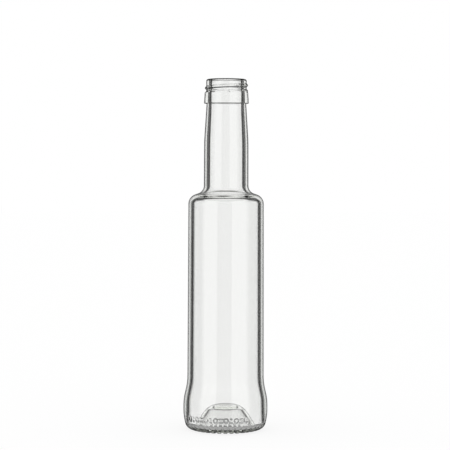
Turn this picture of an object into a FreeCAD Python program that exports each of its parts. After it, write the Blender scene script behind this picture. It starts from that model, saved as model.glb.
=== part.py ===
import FreeCAD, Part
import collections
import math
import os
import Sketcher

# Round flint glass bottle for a liquid food, brimful about 0.2 litre.
# Frame: millimetres, +Z up, origin at the centre of the ring that the bottle stands on.
# The glass is one blown solid: an outer blank turned from one outline, the cavity turned
# out of it, the locking collar and the raised screw bead of the finish added on the neck.

SIZES = {
    # overall
    "bottle_height": 220.0,
    "body_top_diameter": 47.3,
    "body_low_diameter": 48.05,
    "foot_diameter": 53.0,
    # foot and heel
    "flare_top": 29.4,
    "flare_bottom": 18.7,
    "flare_blend": 4.4,
    "foot_blend": 3.8,
    "foot_side_round": 34.0,
    "heel_lean": 15.0,
    "heel_round": 4.7,
    "heel_land": 0.15,
    "bearing_width": 1.3,
    "bearing_round": 1.0,
    # punt, the pushed-up middle of the base
    "punt_height": 12.5,
    "punt_slope": 50.0,
    "punt_crown_round": 5.0,
    # shoulder; neck_length runs from the rim down to where the neck meets the shoulder
    "neck_length": 70.4,
    "shoulder_rise": 3.4,
    "shoulder_round": 6.3,
    "neck_root_round": 5.1,
    # neck; every depth is measured down from the rim
    "neck_low_diameter": 28.0,
    "neck_high_diameter": 27.8,
    "neck_top_diameter": 24.8,
    "neck_cone_depth": 38.9,
    "neck_blend": 3.8,
    # finish: the rim, its wall and the collar that a cap locks under
    "finish_diameter": 25.4,
    "rim_outer_round": 1.3,
    "rim_inner_round": 1.1,
    "collar_top_depth": 7.6,
    "collar_bottom_depth": 15.3,
    "collar_top_diameter": 27.3,
    "collar_low_diameter": 28.1,
    "collar_slope_height": 1.0,
    "collar_round": 0.4,
    # screw bead: angles are in degrees from +X towards +Y, fades are the sinking ends
    "bead_start_angle": -62.0,
    "bead_start_depth": 8.0,
    "bead_pitch": 3.55,
    "bead_turns": 1.27,
    "bead_fade_turns": 0.17,
    "bead_height": 0.8,
    "bead_sink": 0.1,
    "bead_root_width": 3.0,
    "bead_crest_width": 1.1,
    "bead_crest_round": 0.45,
    "bead_bite": 0.5,
    # glass thickness
    "body_wall": 2.95,
    "foot_wall": 3.0,
    "neck_wall": 3.2,
    "base_thickness": 3.0,
    "punt_thickness": 2.4,
    "shoulder_thickness": 2.8,
    # cavity
    "cavity_heel_round": 2.4,
    "cavity_valley_round": 2.0,
    "cavity_valley_land": 0.2,
    "cavity_punt_slope": 50.0,
    "cavity_crown_round": 11.0,
    "cavity_shoulder_round": 3.0,
    "cavity_root_round": 9.0,
    "cavity_shoulder_rise": 4.2,
    "throat_diameter": 19.7,
    "throat_depth": 19.2,
    "throat_blend": 3.0,
    "mouth_diameter": 19.0,
    "mouth_depth": 4.0,
    "mouth_taper": 4.5,
    # how far a cutting or added outline runs past the glass it meets
    "overrun": 1.0,
}

SHEET = "Sizes"


class Size:
    """A number and the expression that gives it from the cells of the sheet."""

    def __init__(self, value, text):
        self.value = value
        self.text = text

    def __add__(self, other):
        other = as_size(other)
        return Size(self.value + other.value, f"({self.text} + {other.text})")

    def __sub__(self, other):
        other = as_size(other)
        return Size(self.value - other.value, f"({self.text} - {other.text})")

    def __mul__(self, other):
        other = as_size(other)
        return Size(self.value * other.value, f"({self.text} * {other.text})")

    def __truediv__(self, other):
        other = as_size(other)
        return Size(self.value / other.value, f"({self.text} / {other.text})")


def as_size(number):
    """Let plain numbers take part in sums of sizes."""
    if isinstance(number, Size):
        return number
    return Size(float(number), repr(float(number)))


def cell(alias):
    """The size that one cell of the sheet holds."""
    return Size(SIZES[alias], f"{SHEET}.{alias}")


def tangent(angle):
    """Tangent of a size in degrees; the sheet's own functions take degrees too."""
    return Size(math.tan(math.radians(angle.value)), f"tan({angle.text})")


def sine(angle):
    return Size(math.sin(math.radians(angle.value)), f"sin({angle.text})")


def cosine(angle):
    return Size(math.cos(math.radians(angle.value)), f"cos({angle.text})")


def smaller(one, other):
    return Size(min(one.value, other.value), f"min({one.text}; {other.text})")


def half(alias):
    """A radius from the cell of its diameter."""
    return cell(alias) / 2


def below_rim(alias):
    """A height from the cell of its depth below the rim."""
    return cell("bottle_height") - cell(alias)


def crown_round(alias, crown, slope):
    """A rounding of the punt's crown, never more than its flat has room for."""
    return smaller(cell(alias), crown * 0.95 / tangent(slope / 2))


def rim_round(alias):
    """A rounding of the rim, never more than its wall has room for on either side."""
    wall = half("finish_diameter") - half("mouth_diameter")
    return smaller(cell(alias), wall * 0.45)


ON_AXIS = as_size(0)
AT_BASE = as_size(0)

# A corner of an outline: its radius from the axis, its height, and the rounding there,
# given either by the arc's radius or by how far the arc reaches along the two sides.
Corner = collections.namedtuple("Corner", "r z round reach", defaults=(None, None))


def make_sheet(document):
    """Write the driving sizes as plain numbers, one row each, with their names as aliases."""
    sheet = document.addObject("Spreadsheet::Sheet", SHEET)
    for row, (alias, value) in enumerate(SIZES.items(), start=1):
        sheet.set(f"A{row}", alias)
        sheet.set(f"B{row}", str(value))
        sheet.setAlias(f"B{row}", alias)
    document.recompute()
    return sheet


def origin_plane(body, role):
    """The body's own origin plane that has this role, such as XZ_Plane."""
    for feature in body.Origin.OriginFeatures:
        if feature.Role == role:
            return feature
    raise ValueError(f"no origin plane {role}")


def new_sketch(body, name, role):
    """An empty sketch on one of the body's origin planes."""
    sketch = body.newObject("Sketcher::SketchObject", name)
    sketch.AttachmentSupport = (origin_plane(body, role), [""])
    sketch.MapMode = "FlatFace"
    return sketch


def bind(sketch, index, size, label):
    """Name a dimension of a sketch and tie it to its size."""
    sketch.renameConstraint(index, label)
    sketch.setExpression(f"Constraints.{label}", size.text)


def pin_point(sketch, geometry, point, corner, label):
    """Hold a point at a corner's radius and height; zero lies on the sketch's own axes."""
    for kind, size, axis in (("DistanceX", corner.r, -2), ("DistanceY", corner.z, -1)):
        if abs(size.value) < 1e-9:
            sketch.addConstraint(Sketcher.Constraint("PointOnObject", geometry, point, axis))
        else:
            index = sketch.addConstraint(
                Sketcher.Constraint(kind, -1, 1, geometry, point, size.value))
            bind(sketch, index, size, f"{label}_{kind[-1]}")


def arc_reach(corner, turn):
    """How far a corner's arc reaches along its sides, where the outline turns by turn."""
    if corner.reach is not None:
        return corner.reach.value
    if corner.round is not None:
        return corner.round.value * math.tan(abs(turn) / 2)
    return 0.0


def draw_outline(sketch, corners):
    """Draw a closed outline of straight sides with tangent arcs, every size bound."""
    points = [FreeCAD.Vector(corner.r.value, corner.z.value, 0) for corner in corners]
    count = len(points)
    directions = [(points[(i + 1) % count] - points[i]).normalize() for i in range(count)]
    turns = []
    for i in range(count):
        before, after = directions[i - 1], directions[i]
        cross = before.x * after.y - before.y * after.x
        turns.append(math.atan2(cross, before.dot(after)))
    reaches = [arc_reach(corners[i], turns[i]) for i in range(count)]

    sides = []
    for i in range(count):
        j = (i + 1) % count
        start = points[i] + directions[i] * reaches[i]
        end = points[j] - directions[i] * reaches[j]
        if (end - start).dot(directions[i]) <= 0:
            raise ValueError(f"roundings {i} and {j} of {sketch.Label} meet")
        sides.append(sketch.addGeometry(Part.LineSegment(start, end), False))

    for i, corner in enumerate(corners):
        before, after = sides[i - 1], sides[i]
        label = f"corner{i}"
        if reaches[i] == 0.0:
            sketch.addConstraint(Sketcher.Constraint("Coincident", before, 2, after, 1))
            pin_point(sketch, after, 1, corner, label)
            continue
        radius = reaches[i] / math.tan(abs(turns[i]) / 2)
        left = FreeCAD.Vector(-directions[i - 1].y, directions[i - 1].x, 0)
        side = 1 if turns[i] > 0 else -1
        first = points[i] - directions[i - 1] * reaches[i]
        centre = first + left * (radius * side)
        last = points[i] + directions[i] * reaches[i]
        ends = [first, last][::side]
        angles = [math.atan2(end.y - centre.y, end.x - centre.x) for end in ends]
        circle = Part.Circle(centre, FreeCAD.Vector(0, 0, 1), radius)
        arc = sketch.addGeometry(Part.ArcOfCircle(circle, *angles), False)
        arc_ends = [1, 2][::side]
        sketch.addConstraint(Sketcher.Constraint("Tangent", before, 2, arc, arc_ends[0]))
        sketch.addConstraint(Sketcher.Constraint("Tangent", arc, arc_ends[1], after, 1))
        mark = sketch.addGeometry(Part.Point(points[i]), True)
        pin_point(sketch, mark, 1, corner, label)
        sketch.addConstraint(Sketcher.Constraint("PointOnObject", mark, 1, before))
        sketch.addConstraint(Sketcher.Constraint("PointOnObject", mark, 1, after))
        if corner.reach is not None:
            index = sketch.addConstraint(
                Sketcher.Constraint("Distance", mark, 1, after, 1, corner.reach.value))
            bind(sketch, index, corner.reach, f"{label}_reach")
        else:
            index = sketch.addConstraint(Sketcher.Constraint("Radius", arc, radius))
            bind(sketch, index, corner.round, f"{label}_round")


def turned(body, kind, name, sketch):
    """Turn a sketch once round its vertical axis, as added glass or as a cut."""
    feature = body.newObject(kind, name)
    feature.Profile = sketch
    feature.ReferenceAxis = (sketch, ["V_Axis"])
    feature.Angle = 360
    body.Document.recompute()
    body.Tip = feature
    return feature


def heel_side_length():
    """Length of the leaning heel side between its two corners: both arcs and the land."""
    lean = cell("heel_lean")
    low_reach = cell("heel_round") * tangent((as_size(90) - lean) / 2)
    high_reach = cell("foot_side_round") * tangent(lean / 2)
    return low_reach + high_reach + cell("heel_land")


def bearing_inner_radius():
    """Radius of the corner where the standing ring turns up into the punt."""
    lean = cell("heel_lean")
    heel_corner = half("foot_diameter") - heel_side_length() * sine(lean)
    ring_outer = heel_corner - cell("heel_round") * tangent((as_size(90) - lean) / 2)
    return ring_outer - cell("bearing_width")


def outer_corners():
    """Outline of the blank: base with punt, heel, foot, flare, body, shoulder, neck, rim."""
    lean = cell("heel_lean")
    side = heel_side_length()
    foot = half("foot_diameter")
    ring = bearing_inner_radius()
    slope = cell("punt_slope")
    crown = ring - cell("punt_height") / tangent(slope)
    neck_root = below_rim("neck_length")
    return [
        Corner(ON_AXIS, cell("punt_height")),
        Corner(crown, cell("punt_height"), crown_round("punt_crown_round", crown, slope)),
        Corner(ring, AT_BASE, cell("bearing_round")),
        Corner(foot - side * sine(lean), AT_BASE, cell("heel_round")),
        Corner(foot, side * cosine(lean), cell("foot_side_round")),
        Corner(foot, cell("flare_bottom"), reach=cell("foot_blend")),
        Corner(half("body_low_diameter"), cell("flare_top"), reach=cell("flare_blend")),
        Corner(half("body_top_diameter"), neck_root - cell("shoulder_rise"),
               cell("shoulder_round")),
        Corner(half("neck_low_diameter"), neck_root, cell("neck_root_round")),
        Corner(half("neck_high_diameter"), below_rim("neck_cone_depth"),
               reach=cell("neck_blend")),
        Corner(half("neck_top_diameter"), below_rim("collar_bottom_depth")),
        Corner(half("finish_diameter"), below_rim("collar_top_depth")),
        Corner(half("finish_diameter"), cell("bottle_height"), rim_round("rim_outer_round")),
        Corner(ON_AXIS, cell("bottle_height")),
    ]


def cavity_corners():
    """Outline of the cavity, which follows the blank at the thickness of each zone."""
    slope = cell("cavity_punt_slope")
    floor = cell("base_thickness")
    crown_height = cell("punt_height") + cell("punt_thickness")
    foot = half("foot_diameter") - cell("foot_wall")
    valley = foot - cell("cavity_heel_round") - cell("cavity_valley_land")
    valley = valley - cell("cavity_valley_round") * tangent(slope / 2)
    crown = valley - (crown_height - floor) / tangent(slope)
    shoulder = below_rim("neck_length") - cell("shoulder_rise") - cell("shoulder_thickness")
    mouth_low = below_rim("mouth_depth")
    return [
        Corner(ON_AXIS, crown_height),
        Corner(crown, crown_height, crown_round("cavity_crown_round", crown, slope)),
        Corner(valley, floor, cell("cavity_valley_round")),
        Corner(foot, floor, cell("cavity_heel_round")),
        Corner(foot, cell("flare_bottom"), reach=cell("foot_blend")),
        Corner(half("body_low_diameter") - cell("body_wall"), cell("flare_top"),
               reach=cell("flare_blend")),
        Corner(half("body_top_diameter") - cell("body_wall"), shoulder,
               cell("cavity_shoulder_round")),
        Corner(half("neck_low_diameter") - cell("neck_wall"),
               shoulder + cell("cavity_shoulder_rise"), cell("cavity_root_round")),
        Corner(half("neck_high_diameter") - cell("neck_wall"), below_rim("neck_cone_depth"),
               reach=cell("neck_blend")),
        Corner(half("throat_diameter"), below_rim("throat_depth"), reach=cell("throat_blend")),
        Corner(half("throat_diameter"), mouth_low - cell("mouth_taper")),
        Corner(half("mouth_diameter"), mouth_low),
        Corner(half("mouth_diameter"), cell("bottle_height") + cell("overrun")),
        Corner(ON_AXIS, cell("bottle_height") + cell("overrun")),
    ]


def collar_corners():
    """Section of the locking collar: a tapered band with a square underside."""
    inside = half("neck_top_diameter") - cell("overrun")
    top, bottom = below_rim("collar_top_depth"), below_rim("collar_bottom_depth")
    return [
        Corner(inside, bottom),
        Corner(half("collar_low_diameter"), bottom, cell("collar_round")),
        Corner(half("collar_top_diameter"), top - cell("collar_slope_height"),
               cell("collar_round")),
        Corner(half("finish_diameter"), top),
        Corner(inside, top),
    ]


def bead_corners(height):
    """Section of the screw bead about this height, its root sunk a little into the neck."""
    root = half("finish_diameter") - cell("bead_bite")
    crest = half("finish_diameter") + cell("bead_height")
    root_half = cell("bead_root_width") / 2
    crest_half = cell("bead_crest_width") / 2
    return [
        Corner(root, height - root_half),
        Corner(crest, height - crest_half, cell("bead_crest_round")),
        Corner(crest, height + crest_half, cell("bead_crest_round")),
        Corner(root, height + root_half),
    ]


def bead_section(body, name, angle, height):
    """The bead's section on a half plane turned by this angle from +X towards +Y."""
    sketch = new_sketch(body, name, "XZ_Plane")
    upright = FreeCAD.Vector(0, 1, 0)
    sketch.AttachmentOffset = FreeCAD.Placement(
        FreeCAD.Vector(), FreeCAD.Rotation(upright, 1))
    sketch.setExpression("AttachmentOffset.Rotation.Angle", angle.text)
    body.Document.recompute()
    draw_outline(sketch, bead_corners(height))
    return sketch


def wound(body, name, sketch, turns, growth, downwards=False):
    """Wind a section round the axis at the bead's pitch; growth is its radius gain a turn."""
    helix = body.newObject("PartDesign::AdditiveHelix", name)
    helix.Profile = sketch
    helix.ReferenceAxis = (sketch, ["V_Axis"])
    helix.Mode = "height-turns-growth"
    helix.Reversed = downwards
    helix.setExpression("Turns", turns.text)
    helix.setExpression("Height", (cell("bead_pitch") * turns).text)
    helix.setExpression("Growth", growth.text)
    body.Document.recompute()
    body.Tip = helix


def add_screw_bead(body):
    """The raised right-handed bead that a cap turns on, which sinks into the neck at both ends."""
    turns, fade = cell("bead_turns"), cell("bead_fade_turns")
    start, low = cell("bead_start_angle"), below_rim("bead_start_depth")
    end = start + turns * 360
    high = low + cell("bead_pitch") * turns
    level = as_size(0)
    sinking = level - (cell("bead_height") + cell("bead_sink")) / fade

    section = bead_section(body, "bead_section", start, low)
    wound(body, "bead", section, turns, level)
    end_section = bead_section(body, "bead_end_section", end, high)
    wound(body, "bead_end", end_section, fade, sinking)
    lead_section = bead_section(body, "bead_lead_section", start, low)
    wound(body, "bead_lead", lead_section, fade, sinking, downwards=True)


def circle_edges(shape, radius, height):
    """Names of the full circles of this radius at this height."""
    names = []
    for number, edge in enumerate(shape.Edges, start=1):
        curve = edge.Curve
        if not isinstance(curve, Part.Circle):
            continue
        if abs(curve.Radius - radius) < 1e-4 and abs(curve.Center.z - height) < 1e-4:
            names.append(f"Edge{number}")
    return names


def make_bottle(document):
    """The whole bottle as one body."""
    body = document.addObject("PartDesign::Body", "bottle")
    body.Label = "bottle"
    body.Placement = FreeCAD.Placement()

    outline = new_sketch(body, "outer_outline", "XZ_Plane")
    draw_outline(outline, outer_corners())
    turned(body, "PartDesign::Revolution", "blank", outline)

    collar = new_sketch(body, "collar_section", "XZ_Plane")
    draw_outline(collar, collar_corners())
    turned(body, "PartDesign::Revolution", "collar", collar)

    add_screw_bead(body)

    inside = new_sketch(body, "cavity_outline", "XZ_Plane")
    draw_outline(inside, cavity_corners())
    cavity = turned(body, "PartDesign::Groove", "cavity", inside)

    lip = body.newObject("PartDesign::Fillet", "mouth_edge")
    edges = circle_edges(cavity.Shape, half("mouth_diameter").value, SIZES["bottle_height"])
    lip.Base = (cavity, edges)
    lip.setExpression("Radius", rim_round("rim_inner_round").text)
    body.Tip = lip
    return body


def check(document, pieces):
    """Stop on any failed object, and on a piece that isn't one valid solid."""
    for thing in document.Objects:
        if "Invalid" in thing.State or "Error" in thing.State:
            raise RuntimeError(f"{thing.Label} failed: {thing.State}")
    for piece in pieces:
        shape = piece.Shape
        if shape.isNull() or not shape.isValid() or len(shape.Solids) != 1:
            raise RuntimeError(f"{piece.Label} is not one valid solid")


def main():
    document = FreeCAD.newDocument("glass_bottle")
    make_sheet(document)
    pieces = [make_bottle(document)]
    document.recompute()
    check(document, pieces)
    os.makedirs("parts", exist_ok=True)
    for piece in pieces:
        piece.Shape.exportStep(f"parts/{piece.Label}.step")
        box = piece.Shape.optimalBoundingBox()
        print(f"{piece.Label}: {piece.Shape.Volume / 1000:.1f} cm3, "
              f"{box.XLength:.2f} x {box.YLength:.2f} x {box.ZLength:.2f} mm")


main()
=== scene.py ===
import math

import bpy
import numpy as np
from mathutils import Matrix, Vector


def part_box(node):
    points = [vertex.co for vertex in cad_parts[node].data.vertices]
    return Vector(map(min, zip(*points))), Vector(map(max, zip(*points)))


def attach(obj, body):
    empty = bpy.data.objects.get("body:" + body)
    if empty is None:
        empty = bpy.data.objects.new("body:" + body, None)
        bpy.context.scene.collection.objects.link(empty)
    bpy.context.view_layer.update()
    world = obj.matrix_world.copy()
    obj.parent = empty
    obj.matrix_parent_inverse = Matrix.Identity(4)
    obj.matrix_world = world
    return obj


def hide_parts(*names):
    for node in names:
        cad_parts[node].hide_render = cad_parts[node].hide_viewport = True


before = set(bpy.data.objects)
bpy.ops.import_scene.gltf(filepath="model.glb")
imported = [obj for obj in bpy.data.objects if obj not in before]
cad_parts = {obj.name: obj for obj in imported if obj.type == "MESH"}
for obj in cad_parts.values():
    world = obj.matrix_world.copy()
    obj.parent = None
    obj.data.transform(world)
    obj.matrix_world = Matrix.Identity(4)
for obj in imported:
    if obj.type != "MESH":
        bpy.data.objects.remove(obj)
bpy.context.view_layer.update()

# Round clear glass bottle, dressed: the glass is one closed mesh with its screw bead, the
# knurled standing ring and plain mould marks. It refracts as glass does, apart from a painted
# dark shade, a near-black diffuse share, that is mixed in at its edges, see the materials below.
# The outline's sizes are in millimetres, as the bottle is drawn; the mesh is in metres.

LOW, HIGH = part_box("bottle")
MM = 0.001
HEIGHT = (HIGH[2] - LOW[2]) / MM
FOOT = (HIGH[0] - LOW[0]) / 2 / MM

# ---------------------------------------------------------------- sizes of the glass, mm

HEEL_LEAN = math.radians(15.0)
HEEL_ROUND = 4.7
FOOT_SIDE_ROUND = 34.0
HEEL_LAND = 0.15
BEARING_WIDTH, BEARING_ROUND = 1.3, 1.0
PUNT_HEIGHT = 12.5
PUNT_SLOPE, PUNT_ROUND = math.radians(50), 5.0
FLARE_BOTTOM, FLARE_TOP = 18.7, 29.4
FOOT_BLEND, FLARE_BLEND = 3.8, 4.4
BODY_LOW, BODY_TOP = 48.05 / 2, 47.3 / 2
NECK_LOW, NECK_HIGH, NECK_TOP = 28.0 / 2, 27.8 / 2, 24.8 / 2
NECK_ROOT_Z = HEIGHT - 70.4
SHOULDER_RISE = 3.4
SHOULDER_ROUND, NECK_ROOT_ROUND = 6.3, 5.1
CONE_Z, NECK_BLEND = HEIGHT - 38.9, 3.8
NECK_TOP_ROUND = 0.25
COLLAR_TOP_Z, COLLAR_BOTTOM_Z = HEIGHT - 7.6, HEIGHT - 15.3
COLLAR_HIGH, COLLAR_LOW = 27.3 / 2, 28.1 / 2
COLLAR_SLOPE, COLLAR_ROUND = 1.0, 0.4
FINISH, FINISH_ROUND = 25.4 / 2, 0.5
RIM_OUTER_ROUND, RIM_INNER_ROUND = 1.3, 1.1
BODY_WALL, FOOT_WALL, NECK_WALL = 2.95, 3.0, 3.2
FLOOR_Z, PUNT_THICKNESS = 3.0, 2.4
DOME_SLOPE, DOME_ROUND = math.radians(50), 11.0
VALLEY_ROUND, VALLEY_LAND, CAVITY_HEEL_ROUND = 2.0, 0.2, 2.4
THROAT, THROAT_Z, THROAT_BLEND = 19.7 / 2, HEIGHT - 19.2, 3.0
MOUTH, MOUTH_Z, MOUTH_TAPER = 19.0 / 2, HEIGHT - 4.0, 4.5
MOUTH_BLEND = 8.0

# inside of the shoulder: 0.8 mm less glass than the solid has there, with fillets up to 0.5 mm
# off the solid's, because this draws the lines of the shoulder more truly
SHOULDER_GLASS, CAVITY_SHOULDER_RISE = 2.0, 3.9
CAVITY_ROOT_ROUND, CAVITY_SHOULDER_ROUND = 8.5, 3.5

# screw bead: angles in degrees from +X towards +Y
BEAD_START, BEAD_TURNS, BEAD_FADE = -62.0, 1.27, 0.17
BEAD_Z, BEAD_PITCH = HEIGHT - 8.0, 3.55
BEAD_HEIGHT, BEAD_HALF_ROOT, BEAD_HALF_CREST = 0.8, 1.2, 0.28

# knurling of the standing ring, and the radii between which it fades in and out
KNURLS, KNURL_DEPTH = 36, 0.55
KNURL_FADE_IN, KNURL_FADE_OUT = (18.9, 19.7), (22.2, 24.0)
KNURL_TOP = 2.5

# plain mould marks on the front of the foot
MARK_Z, MARK_RELIEF, MARK_EDGE = 8.3, 0.42, 0.12
MARK_FIRST, MARK_LAST, MARK_GAP = -146.0, -54.0, 7.1
MARK_STRETCH = 1.25
RING_RADIUS, RING_HALF_LINE = 1.15, 0.36
DOT_APART, DOT_RADIUS = 0.9, 0.58
RUNG_APART, RUNG_REACH, RUNG_HALF_LINE = 0.85, 1.0, 0.4

# steps of the mesh: up the outline in mm, and round the bottle
FINISH_STEP, MARK_STEP, RING_STEP, PLAIN_STEP = 0.22, 0.24, 0.42, 9.0
FRONT_STEPS, REST_STEPS = 180, 94
FRONT_FROM, FRONT_TO = -150, -50


# ---------------------------------------------------------------- outline

def traced(corners, spacing, arc_step=math.radians(6)):
    """Points along straight sides that tangent arcs join. A corner is (r, z, round, reach):
    its arc is given by its radius, or by how far it reaches along the two sides."""
    points = [np.array(corner[:2], float) for corner in corners]
    count = len(points)
    path = [points[0]]
    for i in range(1, count - 1):
        before = points[i] - points[i - 1]
        after = points[i + 1] - points[i]
        before, after = before / np.linalg.norm(before), after / np.linalg.norm(after)
        turn = math.atan2(before[0] * after[1] - before[1] * after[0], before @ after)
        radius, reach = corners[i][2:]
        if reach is None:
            reach = radius * math.tan(abs(turn) / 2)
        else:
            radius = reach / math.tan(abs(turn) / 2)
        start = points[i] - before * reach
        add_side(path, start, spacing)
        left = np.array([-before[1], before[0]]) * math.copysign(1, turn)
        centre = start + left * radius
        steps = max(4, math.ceil(abs(turn) / arc_step),
                    math.ceil(abs(turn) * radius / spacing(*points[i])))
        for k in range(1, steps + 1):
            angle = turn * k / steps
            c, s = math.cos(angle), math.sin(angle)
            arm = start - centre
            path.append(centre + np.array([c * arm[0] - s * arm[1], s * arm[0] + c * arm[1]]))
    add_side(path, points[-1], spacing)
    return path


def add_side(path, end, spacing):
    """Carry the path on to a point in even steps no longer than the spacing there."""
    start = path[-1]
    length = np.linalg.norm(end - start)
    if length < 1e-6:
        return
    middle = (start + end) / 2
    steps = max(1, math.ceil(length / spacing(*middle)))
    path.extend(start + (end - start) * k / steps for k in range(1, steps + 1))


def outer_spacing(r, z):
    """Longest step of the outer outline: short where the surface carries fine relief."""
    if COLLAR_TOP_Z - 0.5 < z < HEIGHT - 1.2 and r > NECK_TOP:
        return FINISH_STEP
    if MARK_Z - 2.4 < z < MARK_Z + 2.4 and r > 22:
        return MARK_STEP
    if z < 2 and 18.5 < r < 24.5:
        return RING_STEP
    return PLAIN_STEP


def inner_spacing(r, z):
    """Longest step of the inner outline, which carries no fine relief."""
    return PLAIN_STEP


def outer_path():
    """From the middle of the punt's underside round the outside and up to the rim."""
    low_reach = HEEL_ROUND * math.tan((math.pi / 2 - HEEL_LEAN) / 2)
    side = low_reach + FOOT_SIDE_ROUND * math.tan(HEEL_LEAN / 2) + HEEL_LAND
    heel = FOOT - side * math.sin(HEEL_LEAN)
    ring = heel - low_reach - BEARING_WIDTH
    crown = ring - PUNT_HEIGHT / math.tan(PUNT_SLOPE)
    return traced([
        (0, PUNT_HEIGHT, None, None),
        (crown, PUNT_HEIGHT, PUNT_ROUND, None),
        (ring, 0, BEARING_ROUND, None),
        (heel, 0, HEEL_ROUND, None),
        (FOOT, side * math.cos(HEEL_LEAN), FOOT_SIDE_ROUND, None),
        (FOOT, FLARE_BOTTOM, None, FOOT_BLEND),
        (BODY_LOW, FLARE_TOP, None, FLARE_BLEND),
        (BODY_TOP, NECK_ROOT_Z - SHOULDER_RISE, SHOULDER_ROUND, None),
        (NECK_LOW, NECK_ROOT_Z, NECK_ROOT_ROUND, None),
        (NECK_HIGH, CONE_Z, None, NECK_BLEND),
        (NECK_TOP, COLLAR_BOTTOM_Z, NECK_TOP_ROUND, None),
        (COLLAR_LOW, COLLAR_BOTTOM_Z, COLLAR_ROUND, None),
        (COLLAR_HIGH, COLLAR_TOP_Z - COLLAR_SLOPE, COLLAR_ROUND, None),
        (FINISH, COLLAR_TOP_Z, FINISH_ROUND, None),
        (FINISH, HEIGHT, RIM_OUTER_ROUND, None),
        ((FINISH + MOUTH) / 2, HEIGHT, None, None),
    ], outer_spacing)


def inner_path():
    """From the rim down the inside to the middle of the punt's upper side."""
    foot = FOOT - FOOT_WALL
    crown_z = PUNT_HEIGHT + PUNT_THICKNESS
    valley = foot - CAVITY_HEEL_ROUND - VALLEY_LAND - VALLEY_ROUND * math.tan(DOME_SLOPE / 2)
    crown = valley - (crown_z - FLOOR_Z) / math.tan(DOME_SLOPE)
    shoulder = NECK_ROOT_Z - SHOULDER_RISE - SHOULDER_GLASS
    return traced([
        ((FINISH + MOUTH) / 2, HEIGHT, None, None),
        (MOUTH, HEIGHT, RIM_INNER_ROUND, None),
        (MOUTH, MOUTH_Z, MOUTH_BLEND, None),
        (THROAT, MOUTH_Z - MOUTH_TAPER, MOUTH_BLEND, None),
        (THROAT, THROAT_Z, None, THROAT_BLEND),
        (NECK_HIGH - NECK_WALL, CONE_Z, None, NECK_BLEND),
        (NECK_LOW - NECK_WALL, shoulder + CAVITY_SHOULDER_RISE, CAVITY_ROOT_ROUND, None),
        (BODY_TOP - BODY_WALL, shoulder, CAVITY_SHOULDER_ROUND, None),
        (BODY_LOW - BODY_WALL, FLARE_TOP, None, FLARE_BLEND),
        (foot, FLARE_BOTTOM, None, FOOT_BLEND),
        (foot, FLOOR_Z, CAVITY_HEEL_ROUND, None),
        (valley, FLOOR_Z, VALLEY_ROUND, None),
        (crown, crown_z, DOME_ROUND, None),
        (0, crown_z, None, None),
    ], inner_spacing)


# ---------------------------------------------------------------- relief of the outer skin

def smooth(edge0, edge1, x):
    """0 before the first edge, 1 past the second, and a soft rise between."""
    t = np.clip((x - edge0) / (edge1 - edge0), 0, 1)
    return t * t * (3 - 2 * t)


def bead_relief(theta, z):
    """Height of the screw bead over the finish, for angles in degrees and heights in mm."""
    relief = np.zeros(np.broadcast(theta, z).shape)
    for wind in range(-2, 3):
        turns = (theta + 360 * wind - BEAD_START) / 360
        apart = np.abs(z - (BEAD_Z + BEAD_PITCH * turns))
        ramp = (BEAD_HALF_ROOT - apart) / (BEAD_HALF_ROOT - BEAD_HALF_CREST)
        shape = BEAD_HEIGHT * smooth(0, 1, ramp)
        past_end = np.maximum(np.maximum(-turns, turns - BEAD_TURNS), 0)
        shape = np.maximum(shape - BEAD_HEIGHT * past_end / BEAD_FADE, 0)
        relief = np.maximum(relief, shape)
    return relief


def knurl_lift(theta, r, z):
    """How far the standing ring is cut up between its knurls."""
    wave = 0.5 + 0.5 * np.cos(np.radians(theta) * KNURLS)
    gap = smooth(0.35, 0.95, 1 - wave)
    band = smooth(*KNURL_FADE_IN, r) * (1 - smooth(*KNURL_FADE_OUT, r)) * (z < KNURL_TOP)
    return KNURL_DEPTH * gap * band


def capsule(u, v, u0, v0, u1, v1, half):
    """Signed distance to a short bar with round ends."""
    du, dv = u1 - u0, v1 - v0
    t = np.clip(((u - u0) * du + (v - v0) * dv) / (du * du + dv * dv + 1e-9), 0, 1)
    return np.hypot(u - u0 - t * du, v - v0 - t * dv) - half


def ring_mark(u, v):
    return np.abs(np.hypot(u, v) - RING_RADIUS) - RING_HALF_LINE


def dots_mark(u, v):
    return np.minimum(np.hypot(u, v - DOT_APART) - DOT_RADIUS,
                      np.hypot(u, v + DOT_APART) - DOT_RADIUS)


def rungs_mark(u, v):
    upper, lower = (capsule(u, v, -RUNG_REACH, side * RUNG_APART, RUNG_REACH, side * RUNG_APART,
                            RUNG_HALF_LINE) for side in (1, -1))
    return np.minimum(upper, lower)


MARK_ROW = (ring_mark, dots_mark, ring_mark, rungs_mark)


def mark_relief(theta, z):
    """Height of the row of raised mould marks: rings, pairs of dots and pairs of bars."""
    relief = np.zeros(np.broadcast(theta, z).shape)
    count = int((MARK_LAST - MARK_FIRST) / MARK_GAP) + 1
    for k in range(count):
        at = MARK_FIRST + MARK_GAP * k
        u = np.radians((theta - at + 180) % 360 - 180) * FOOT
        v = (z - MARK_Z) / MARK_STRETCH
        distance = MARK_ROW[k % len(MARK_ROW)](u, v)
        relief = np.maximum(relief, 1 - smooth(-MARK_EDGE, MARK_EDGE, distance))
    return MARK_RELIEF * relief


def inner_unevenness(theta, z):
    """The blown inner wall is never quite round: long soft lobes of a few hundredths."""
    chance = np.random.RandomState(11)
    total = np.zeros(np.broadcast(theta, z).shape)
    for lobes in (2, 3, 4, 5):
        turn, shift = chance.uniform(0, 2 * math.pi, 2)
        length = chance.uniform(60, 140)
        wave = np.cos(np.radians(theta) * lobes + turn + 0.6 * np.sin(z / length + shift))
        total = total + wave / lobes
    fade = smooth(8, 30, z) * (1 - smooth(HEIGHT - 22, HEIGHT - 8, z))
    return 0.05 * total * fade


# ---------------------------------------------------------------- mesh

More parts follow.
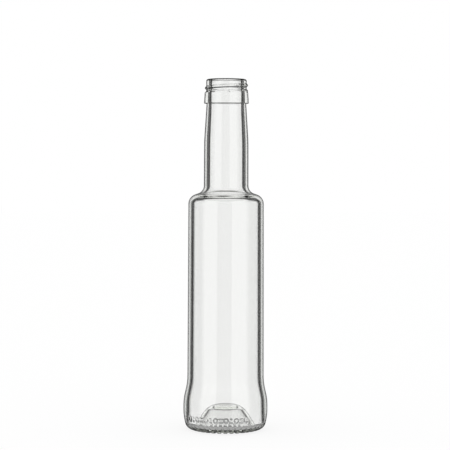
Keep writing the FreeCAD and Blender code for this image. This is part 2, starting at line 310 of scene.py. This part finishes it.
def ring_angles():
    """Angles round the bottle in degrees, closer together where the marks are."""
    turn_end = FRONT_FROM + 360
    front = np.arange(FRONT_FROM, FRONT_TO, (FRONT_TO - FRONT_FROM) / FRONT_STEPS)
    rest = np.arange(FRONT_TO, turn_end, (turn_end - FRONT_TO) / REST_STEPS)
    return np.concatenate([front, rest])


def make_glass():
    """One closed surface: outside, over the rim, down the inside."""
    theta = ring_angles()
    outer, inner = outer_path(), inner_path()
    path = outer + inner[1:]
    rings = np.array(path[1:-1])
    r = rings[:, 0][:, None]
    z = rings[:, 1][:, None]
    outside = (np.arange(len(rings)) < len(outer) - 1)[:, None]

    ahead = np.array(path[2:]) - np.array(path[:-2])
    ahead /= np.linalg.norm(ahead, axis=1)[:, None]
    normal_r, normal_z = ahead[:, 1][:, None], -ahead[:, 0][:, None]

    finish = outside & (z > COLLAR_TOP_Z - 1.1) & (z < HEIGHT - 0.2) & (r > FINISH - 0.5)
    foot = outside & (z > 5) & (z < 14) & (r > 20)
    push = np.where(foot, mark_relief(theta[None, :], z), 0)
    push = push - np.where(outside, 0, inner_unevenness(theta[None, :], z))
    radius = r + push * normal_r
    bead = np.where(finish, FINISH + bead_relief(theta[None, :], z), 0)
    radius = np.where(bead > FINISH, np.maximum(radius, bead), radius)
    radius = np.minimum(radius, FOOT)
    height = z + push * normal_z
    height = height + np.where(outside, knurl_lift(theta[None, :], r, z), 0)

    angle = np.radians(theta)[None, :]
    grid = np.stack([radius * np.cos(angle), radius * np.sin(angle),
                     np.broadcast_to(height, radius.shape)], axis=-1)
    count, around = radius.shape
    vertices = [(0, 0, path[0][1] * MM)]
    vertices += (grid.reshape(-1, 3) * MM).tolist()
    vertices += [(0, 0, path[-1][1] * MM)]

    def at(i, j):
        return 1 + i * around + j % around

    faces = [(0, at(0, j + 1), at(0, j)) for j in range(around)]
    faces += [(at(i, j), at(i, j + 1), at(i + 1, j + 1), at(i + 1, j))
              for i in range(count - 1) for j in range(around)]
    top = len(vertices) - 1
    faces += [(at(count - 1, j), at(count - 1, j + 1), top) for j in range(around)]
    mesh = bpy.data.meshes.new("bottle_glass")
    mesh.from_pydata(vertices, [], faces)
    mesh.shade_smooth()
    mesh.update()
    piece = bpy.data.objects.new("bottle_glass", mesh)
    bpy.context.collection.objects.link(piece)
    return piece


# ---------------------------------------------------------------- materials

# Painted shade at the edges: a near-black diffuse share mixed into the glass. It stands in for
# the dark outline that clear glass has on white, is no property of glass, and its amounts are
# fitted. It fades in between these two values of the view's grazing angle (0 face on, 1 edge
# on), up to this share.
PAINTED_EDGE_FROM, PAINTED_EDGE_FULL, PAINTED_EDGE_SHARE = 0.61, 0.89, 0.9
# what is added to the grazing angle for the painted edge shade above a height: from this
# height in mm, in full from this one, and how much. They add up: the neck, the finish, then the rim.
PAINTED_EDGE_ZONES = ((NECK_ROOT_Z - 2, NECK_ROOT_Z + 4, 0.08), (HEIGHT - 16.2, HEIGHT - 15.0, -0.04),
              (HEIGHT - 1.5, HEIGHT - 0.7, 0.62))
# and for the painted edge shade on the punt, which lies inside this radius and below this
# height, each with its fade
PUNT_PAINTED_EDGE = -0.13
PUNT_RADIUS_FADE, PUNT_HEIGHT_FADE = (18.5, 19.5), (16, 18)

GLASS_IOR = 1.52
GLASS_TINT, GLASS_DENSITY = (0.62, 0.77, 0.40, 1), 6.0
RIPPLE_SCALE, RIPPLE_STRENGTH, RIPPLE_DEPTH = 90.0, 0.06, 0.0002


def new_material(name):
    material = bpy.data.materials.new(name)
    material.use_nodes = True
    tree = material.node_tree
    tree.nodes.clear()
    output = tree.nodes.new("ShaderNodeOutputMaterial")
    return material, tree, output


def new_node(tree, kind, **values):
    """A shader node with the values of its named inputs, underscores for spaces."""
    node = tree.nodes.new("ShaderNode" + kind)
    for name, value in values.items():
        node.inputs[name.replace("_", " ")].default_value = value
    return node


def new_math(tree, operation, *values):
    """The result of a Math node, from numbers or other nodes' outputs."""
    node = tree.nodes.new("ShaderNodeMath")
    node.operation = operation
    for socket, value in zip(node.inputs, values):
        if isinstance(value, bpy.types.NodeSocket):
            tree.links.new(value, socket)
        else:
            socket.default_value = value
    return node.outputs[0]


def new_fade(tree, value, start, end, at_start, at_end, curve="LINEAR"):
    """The value's place between start and end, as a number from at_start to at_end."""
    node = new_node(tree, "MapRange", From_Min=start, From_Max=end, To_Min=at_start, To_Max=at_end)
    node.interpolation_type = curve
    tree.links.new(value, node.inputs["Value"])
    return node.outputs["Result"]


def mix_shaders(tree, share, first, second):
    mix = tree.nodes.new("ShaderNodeMixShader")
    tree.links.new(share, mix.inputs["Fac"])
    tree.links.new(first.outputs[0], mix.inputs[1])
    tree.links.new(second.outputs[0], mix.inputs[2])
    return mix


def painted_edge_share(tree, place):
    """Share of the painted dark edge shade: more at grazing view, and by the zones of the bottle."""
    total = new_node(tree, "LayerWeight", Blend=0.5).outputs["Facing"]
    split = tree.nodes.new("ShaderNodeSeparateXYZ")
    tree.links.new(place, split.inputs["Vector"])
    height = split.outputs["Z"]
    for low, high, extra in PAINTED_EDGE_ZONES:
        zone = new_fade(tree, height, low * MM, high * MM, 0, extra, "SMOOTHSTEP")
        total = new_math(tree, "ADD", total, zone)

    flat = tree.nodes.new("ShaderNodeVectorMath")
    flat.operation = "MULTIPLY"
    flat.inputs[1].default_value = (1, 1, 0)
    radius = tree.nodes.new("ShaderNodeVectorMath")
    radius.operation = "LENGTH"
    tree.links.new(place, flat.inputs[0])
    tree.links.new(flat.outputs[0], radius.inputs[0])
    near, far = (edge * MM for edge in PUNT_RADIUS_FADE)
    low, high = (edge * MM for edge in PUNT_HEIGHT_FADE)
    inside = new_fade(tree, radius.outputs["Value"], near, far, 1, 0)
    below = new_fade(tree, height, low, high, 1, 0)
    punt = new_math(tree, "MULTIPLY", inside, below)
    total = new_math(tree, "MULTIPLY_ADD", punt, PUNT_PAINTED_EDGE, total)
    return new_fade(tree, total, PAINTED_EDGE_FROM, PAINTED_EDGE_FULL, 0, PAINTED_EDGE_SHARE, "SMOOTHSTEP")


def flint_glass():
    """Clear soda-lime glass, yellow-green where it is thick, with a faint mould ripple and a
    painted dark shade at its edges."""
    material, tree, output = new_material("flint_glass")
    links = tree.links
    shader = new_node(tree, "BsdfPrincipled", Base_Color=(1, 1, 1, 1), Roughness=0.0,
                      IOR=GLASS_IOR, Transmission_Weight=1.0)
    volume = new_node(tree, "VolumeAbsorption", Color=GLASS_TINT, Density=GLASS_DENSITY)
    place = tree.nodes.new("ShaderNodeTexCoord").outputs["Object"]
    ripple = new_node(tree, "TexNoise", Scale=RIPPLE_SCALE, Detail=1.0)
    bump = new_node(tree, "Bump", Strength=RIPPLE_STRENGTH, Distance=RIPPLE_DEPTH)
    links.new(place, ripple.inputs["Vector"])
    links.new(ripple.outputs["Fac"], bump.inputs["Height"])
    links.new(bump.outputs["Normal"], shader.inputs["Normal"])
    # painted shade: a near-black diffuse that is mixed into the glass where it is seen edge on
    edge = new_node(tree, "BsdfDiffuse", Color=(0.02, 0.021, 0.02, 1))
    painted_edge_mix = mix_shaders(tree, painted_edge_share(tree, place), shader, edge)
    links.new(painted_edge_mix.outputs["Shader"], output.inputs["Surface"])
    links.new(volume.outputs["Volume"], output.inputs["Volume"])
    return material


# ---------------------------------------------------------------- stage, lights, camera

CAMERA_DISTANCE = 0.997
CAMERA_HEIGHT = 0.1645
CAMERA_SIDE = -0.00075
CAMERA_ROLL = math.radians(-0.187)
AIM_HEIGHT = 0.1285
CAMERA_PITCH = math.atan((CAMERA_HEIGHT - AIM_HEIGHT) / CAMERA_DISTANCE)
LENS, SENSOR = 126.9, 36.0

FLOOR_HALF, FLOOR_DROP, FLOOR_LIT_SHARE = 5.0, -0.0002, 0.85
GLOW_RADIUS, GLOW_STRENGTH, GLOW_DROP, GLOW_SIDES = 0.04, 0.42, -0.0001, 64
DIM_ROOM = 0.06

# the card behind: how far, and up to which angles from the bottle it reaches; its light drops
# between the shoulder angles
BACK_DISTANCE, BACK_HEIGHT, BACK_SIDE = 1.2, 5.2, 42
BACK_DOWN, BACK_UP, BACK_LIMIT = 40, 28, 29
BACK_STOPS = ((27, 1), (31, 0.75), (35, 0.08))
BACK_EDGE = 0.08
# boxes in front: name, direction, width in degrees, strength
BOXES = (("left_box", -128.5, 47, 0.95), ("right_box", 135.5, 53, 0.95),
         ("left_wing", -74, 13, 0.6), ("right_wing", 74, 13, 0.6))
BOX_DISTANCE, BOX_HEIGHT, BOX_LIFT = 1.0, 1.6, 0.1
FIRST_WALL = 2.5


def make_camera():
    data = bpy.data.cameras.new("camera")
    data.lens = LENS
    data.sensor_width = SENSOR
    data.clip_start, data.clip_end = 0.01, 60
    camera = bpy.data.objects.new("camera", data)
    camera.location = (CAMERA_SIDE, -CAMERA_DISTANCE, CAMERA_HEIGHT)
    camera.rotation_euler = (math.pi / 2 - CAMERA_PITCH, CAMERA_ROLL, 0)
    bpy.context.collection.objects.link(camera)
    bpy.context.scene.camera = camera
    bpy.context.view_layer.update()
    return camera


def seen_factor(tree, *rays):
    """1 for the kinds of ray named, such as Is Camera Ray, else 0."""
    path = tree.nodes.new("ShaderNodeLightPath")
    total = path.outputs[rays[0]]
    for ray in rays[1:]:
        total = new_math(tree, "MAXIMUM", total, path.outputs[ray])
    return total


def stage_piece(name, vertices, material):
    """One flat face of the stage."""
    mesh = bpy.data.meshes.new(name)
    mesh.from_pydata(vertices, [], [tuple(range(len(vertices)))])
    mesh.materials.append(material)
    piece = bpy.data.objects.new(name, mesh)
    bpy.context.collection.objects.link(piece)
    return piece


def make_floor():
    """Pale floor, seen near white, that keeps a soft shadow. Glass doesn't see it."""
    material, tree, output = new_material("pale_floor")
    plain = new_node(tree, "BsdfDiffuse", Color=(0.98, 0.98, 0.98, 1))
    white = new_node(tree, "Emission", Color=(1, 1, 1, 1))
    share = new_math(tree, "MULTIPLY", seen_factor(tree, "Is Camera Ray"), FLOOR_LIT_SHARE)
    mix = mix_shaders(tree, share, plain, white)
    tree.links.new(mix.outputs["Shader"], output.inputs["Surface"])
    corners = ((-1, -1), (1, -1), (1, 1), (-1, 1))
    floor = stage_piece("floor", [(x * FLOOR_HALF, y * FLOOR_HALF, FLOOR_DROP) for x, y in corners],
                        material)
    floor.visible_glossy = False
    floor.visible_transmission = False


def hide_light(piece):
    """The piece lights glass alone."""
    piece.visible_camera = False
    piece.visible_diffuse = False
    piece.visible_shadow = False


def make_glow():
    """The bright table near the bottle, as the glass of its foot sees it."""
    material, tree, output = new_material("table_glow")
    light = new_node(tree, "Emission", Color=(GLOW_STRENGTH, GLOW_STRENGTH, GLOW_STRENGTH, 1))
    tree.links.new(light.outputs["Emission"], output.inputs["Surface"])
    turns = [2 * math.pi * k / GLOW_SIDES for k in range(GLOW_SIDES)]
    rim = [(GLOW_RADIUS * math.cos(turn), GLOW_RADIUS * math.sin(turn), GLOW_DROP) for turn in turns]
    glow = stage_piece("table_glow", rim, material)
    hide_light(glow)


def make_world():
    """White to the camera, plain light to surfaces, and dim round the lit cards to glass."""
    world = bpy.data.worlds.new("studio")
    bpy.context.scene.world = world
    world.use_nodes = True
    tree = world.node_tree
    tree.nodes.clear()
    output = tree.nodes.new("ShaderNodeOutputWorld")
    room, dim, white = (new_node(tree, "Background", Color=(1, 1, 1, 1), Strength=strength)
                        for strength in (1.0, DIM_ROOM, 1.0))
    to_glass = seen_factor(tree, "Is Glossy Ray", "Is Transmission Ray")
    lit = mix_shaders(tree, to_glass, room, dim)
    seen = mix_shaders(tree, seen_factor(tree, "Is Camera Ray"), lit, white)
    tree.links.new(seen.outputs["Shader"], output.inputs["Surface"])


def card_edge(tree, half_width, framed):
    """How near a place on the card is to its edge: 0 in the middle, 1 at the edge."""
    place = tree.nodes.new("ShaderNodeTexCoord")
    split = tree.nodes.new("ShaderNodeSeparateXYZ")
    tree.links.new(place.outputs["Object"], split.inputs["Vector"])
    across = new_math(tree, "ABSOLUTE", split.outputs["X"])
    edge = new_math(tree, "DIVIDE", across, half_width)
    if framed:
        down, up = framed
        level = new_math(tree, "SUBTRACT", split.outputs["Y"], (up - down) / 2)
        upright = new_math(tree, "ABSOLUTE", level)
        up_share = new_math(tree, "DIVIDE", upright, (up + down) / 2)
        edge = new_math(tree, "MAXIMUM", edge, up_share)
    return edge


def card(name, camera, width, height, direction, distance, lift, stops, first_only=False,
         framed=None):
    """A lit card that faces the bottle and keeps its place to the camera, as on a turntable
    stand. Direction is its angle from straight behind the bottle; stops are the light's
    strength across it, as (share of the half width, strength). A card for the first wall
    only isn't mirrored again by the wall behind."""
    w, h = width / 2, height / 2
    material, tree, output = new_material(name)
    ramp = tree.nodes.new("ShaderNodeValToRGB")
    ramp.color_ramp.interpolation = "LINEAR"
    elements = ramp.color_ramp.elements
    while len(elements) < len(stops):
        elements.new(0.5)
    for element, (at, strength) in zip(elements, stops):
        element.position = at
        element.color = (strength, strength, strength, 1)
    light = tree.nodes.new("ShaderNodeEmission")
    tree.links.new(card_edge(tree, w, framed), ramp.inputs["Fac"])
    tree.links.new(ramp.outputs["Color"], light.inputs["Color"])
    tree.links.new(light.outputs["Emission"], output.inputs["Surface"])
    if first_only:
        path = tree.nodes.new("ShaderNodeLightPath")
        near = new_math(tree, "LESS_THAN", path.outputs["Transmission Depth"], FIRST_WALL)
        tree.links.new(near, light.inputs["Strength"])

    panel = stage_piece(name, [(-w, -h, 0), (w, -h, 0), (w, h, 0), (-w, h, 0)], material)
    panel.parent = camera
    turn = math.radians(direction)
    spot = Vector((math.sin(turn) * distance, lift, -CAMERA_DISTANCE - math.cos(turn) * distance))
    panel.matrix_local = Matrix.Translation(spot) @ Matrix.Rotation(-turn, 4, "Y")
    hide_light(panel)


def make_cards(camera):
    """The bright card behind, with soft dark sides, and two soft boxes and two wings."""
    half = BACK_DISTANCE * math.tan(math.radians(BACK_SIDE))

    def share(degrees):
        return math.tan(math.radians(degrees)) * BACK_DISTANCE / half

    framed = [BACK_DISTANCE * math.tan(math.radians(end)) / share(BACK_LIMIT)
              for end in (BACK_DOWN, BACK_UP)]
    stops = [(0, 1)] + [(share(at), strength) for at, strength in BACK_STOPS] + [(1, BACK_EDGE)]
    card("back_card", camera, 2 * half, BACK_HEIGHT, 0, BACK_DISTANCE, 0.0, stops, framed=framed)
    for name, middle, span, strength in BOXES:
        width = 2 * BOX_DISTANCE * math.tan(math.radians(span / 2))
        card(name, camera, width, BOX_HEIGHT, middle, BOX_DISTANCE, BOX_LIFT,
             [(0, strength), (1, strength)], first_only=True)


def main():
    scene = bpy.context.scene
    scene.view_settings.view_transform = "Standard"
    scene.cycles.max_bounces = 24
    scene.cycles.transmission_bounces = 24
    scene.cycles.glossy_bounces = 12
    scene.cycles.caustics_reflective = False
    scene.cycles.caustics_refractive = False

    camera = make_camera()
    glass = make_glass()
    glass.data.materials.append(flint_glass())
    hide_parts("bottle")
    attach(glass, "root")

    make_floor()
    make_glow()
    make_world()
    make_cards(camera)


main()
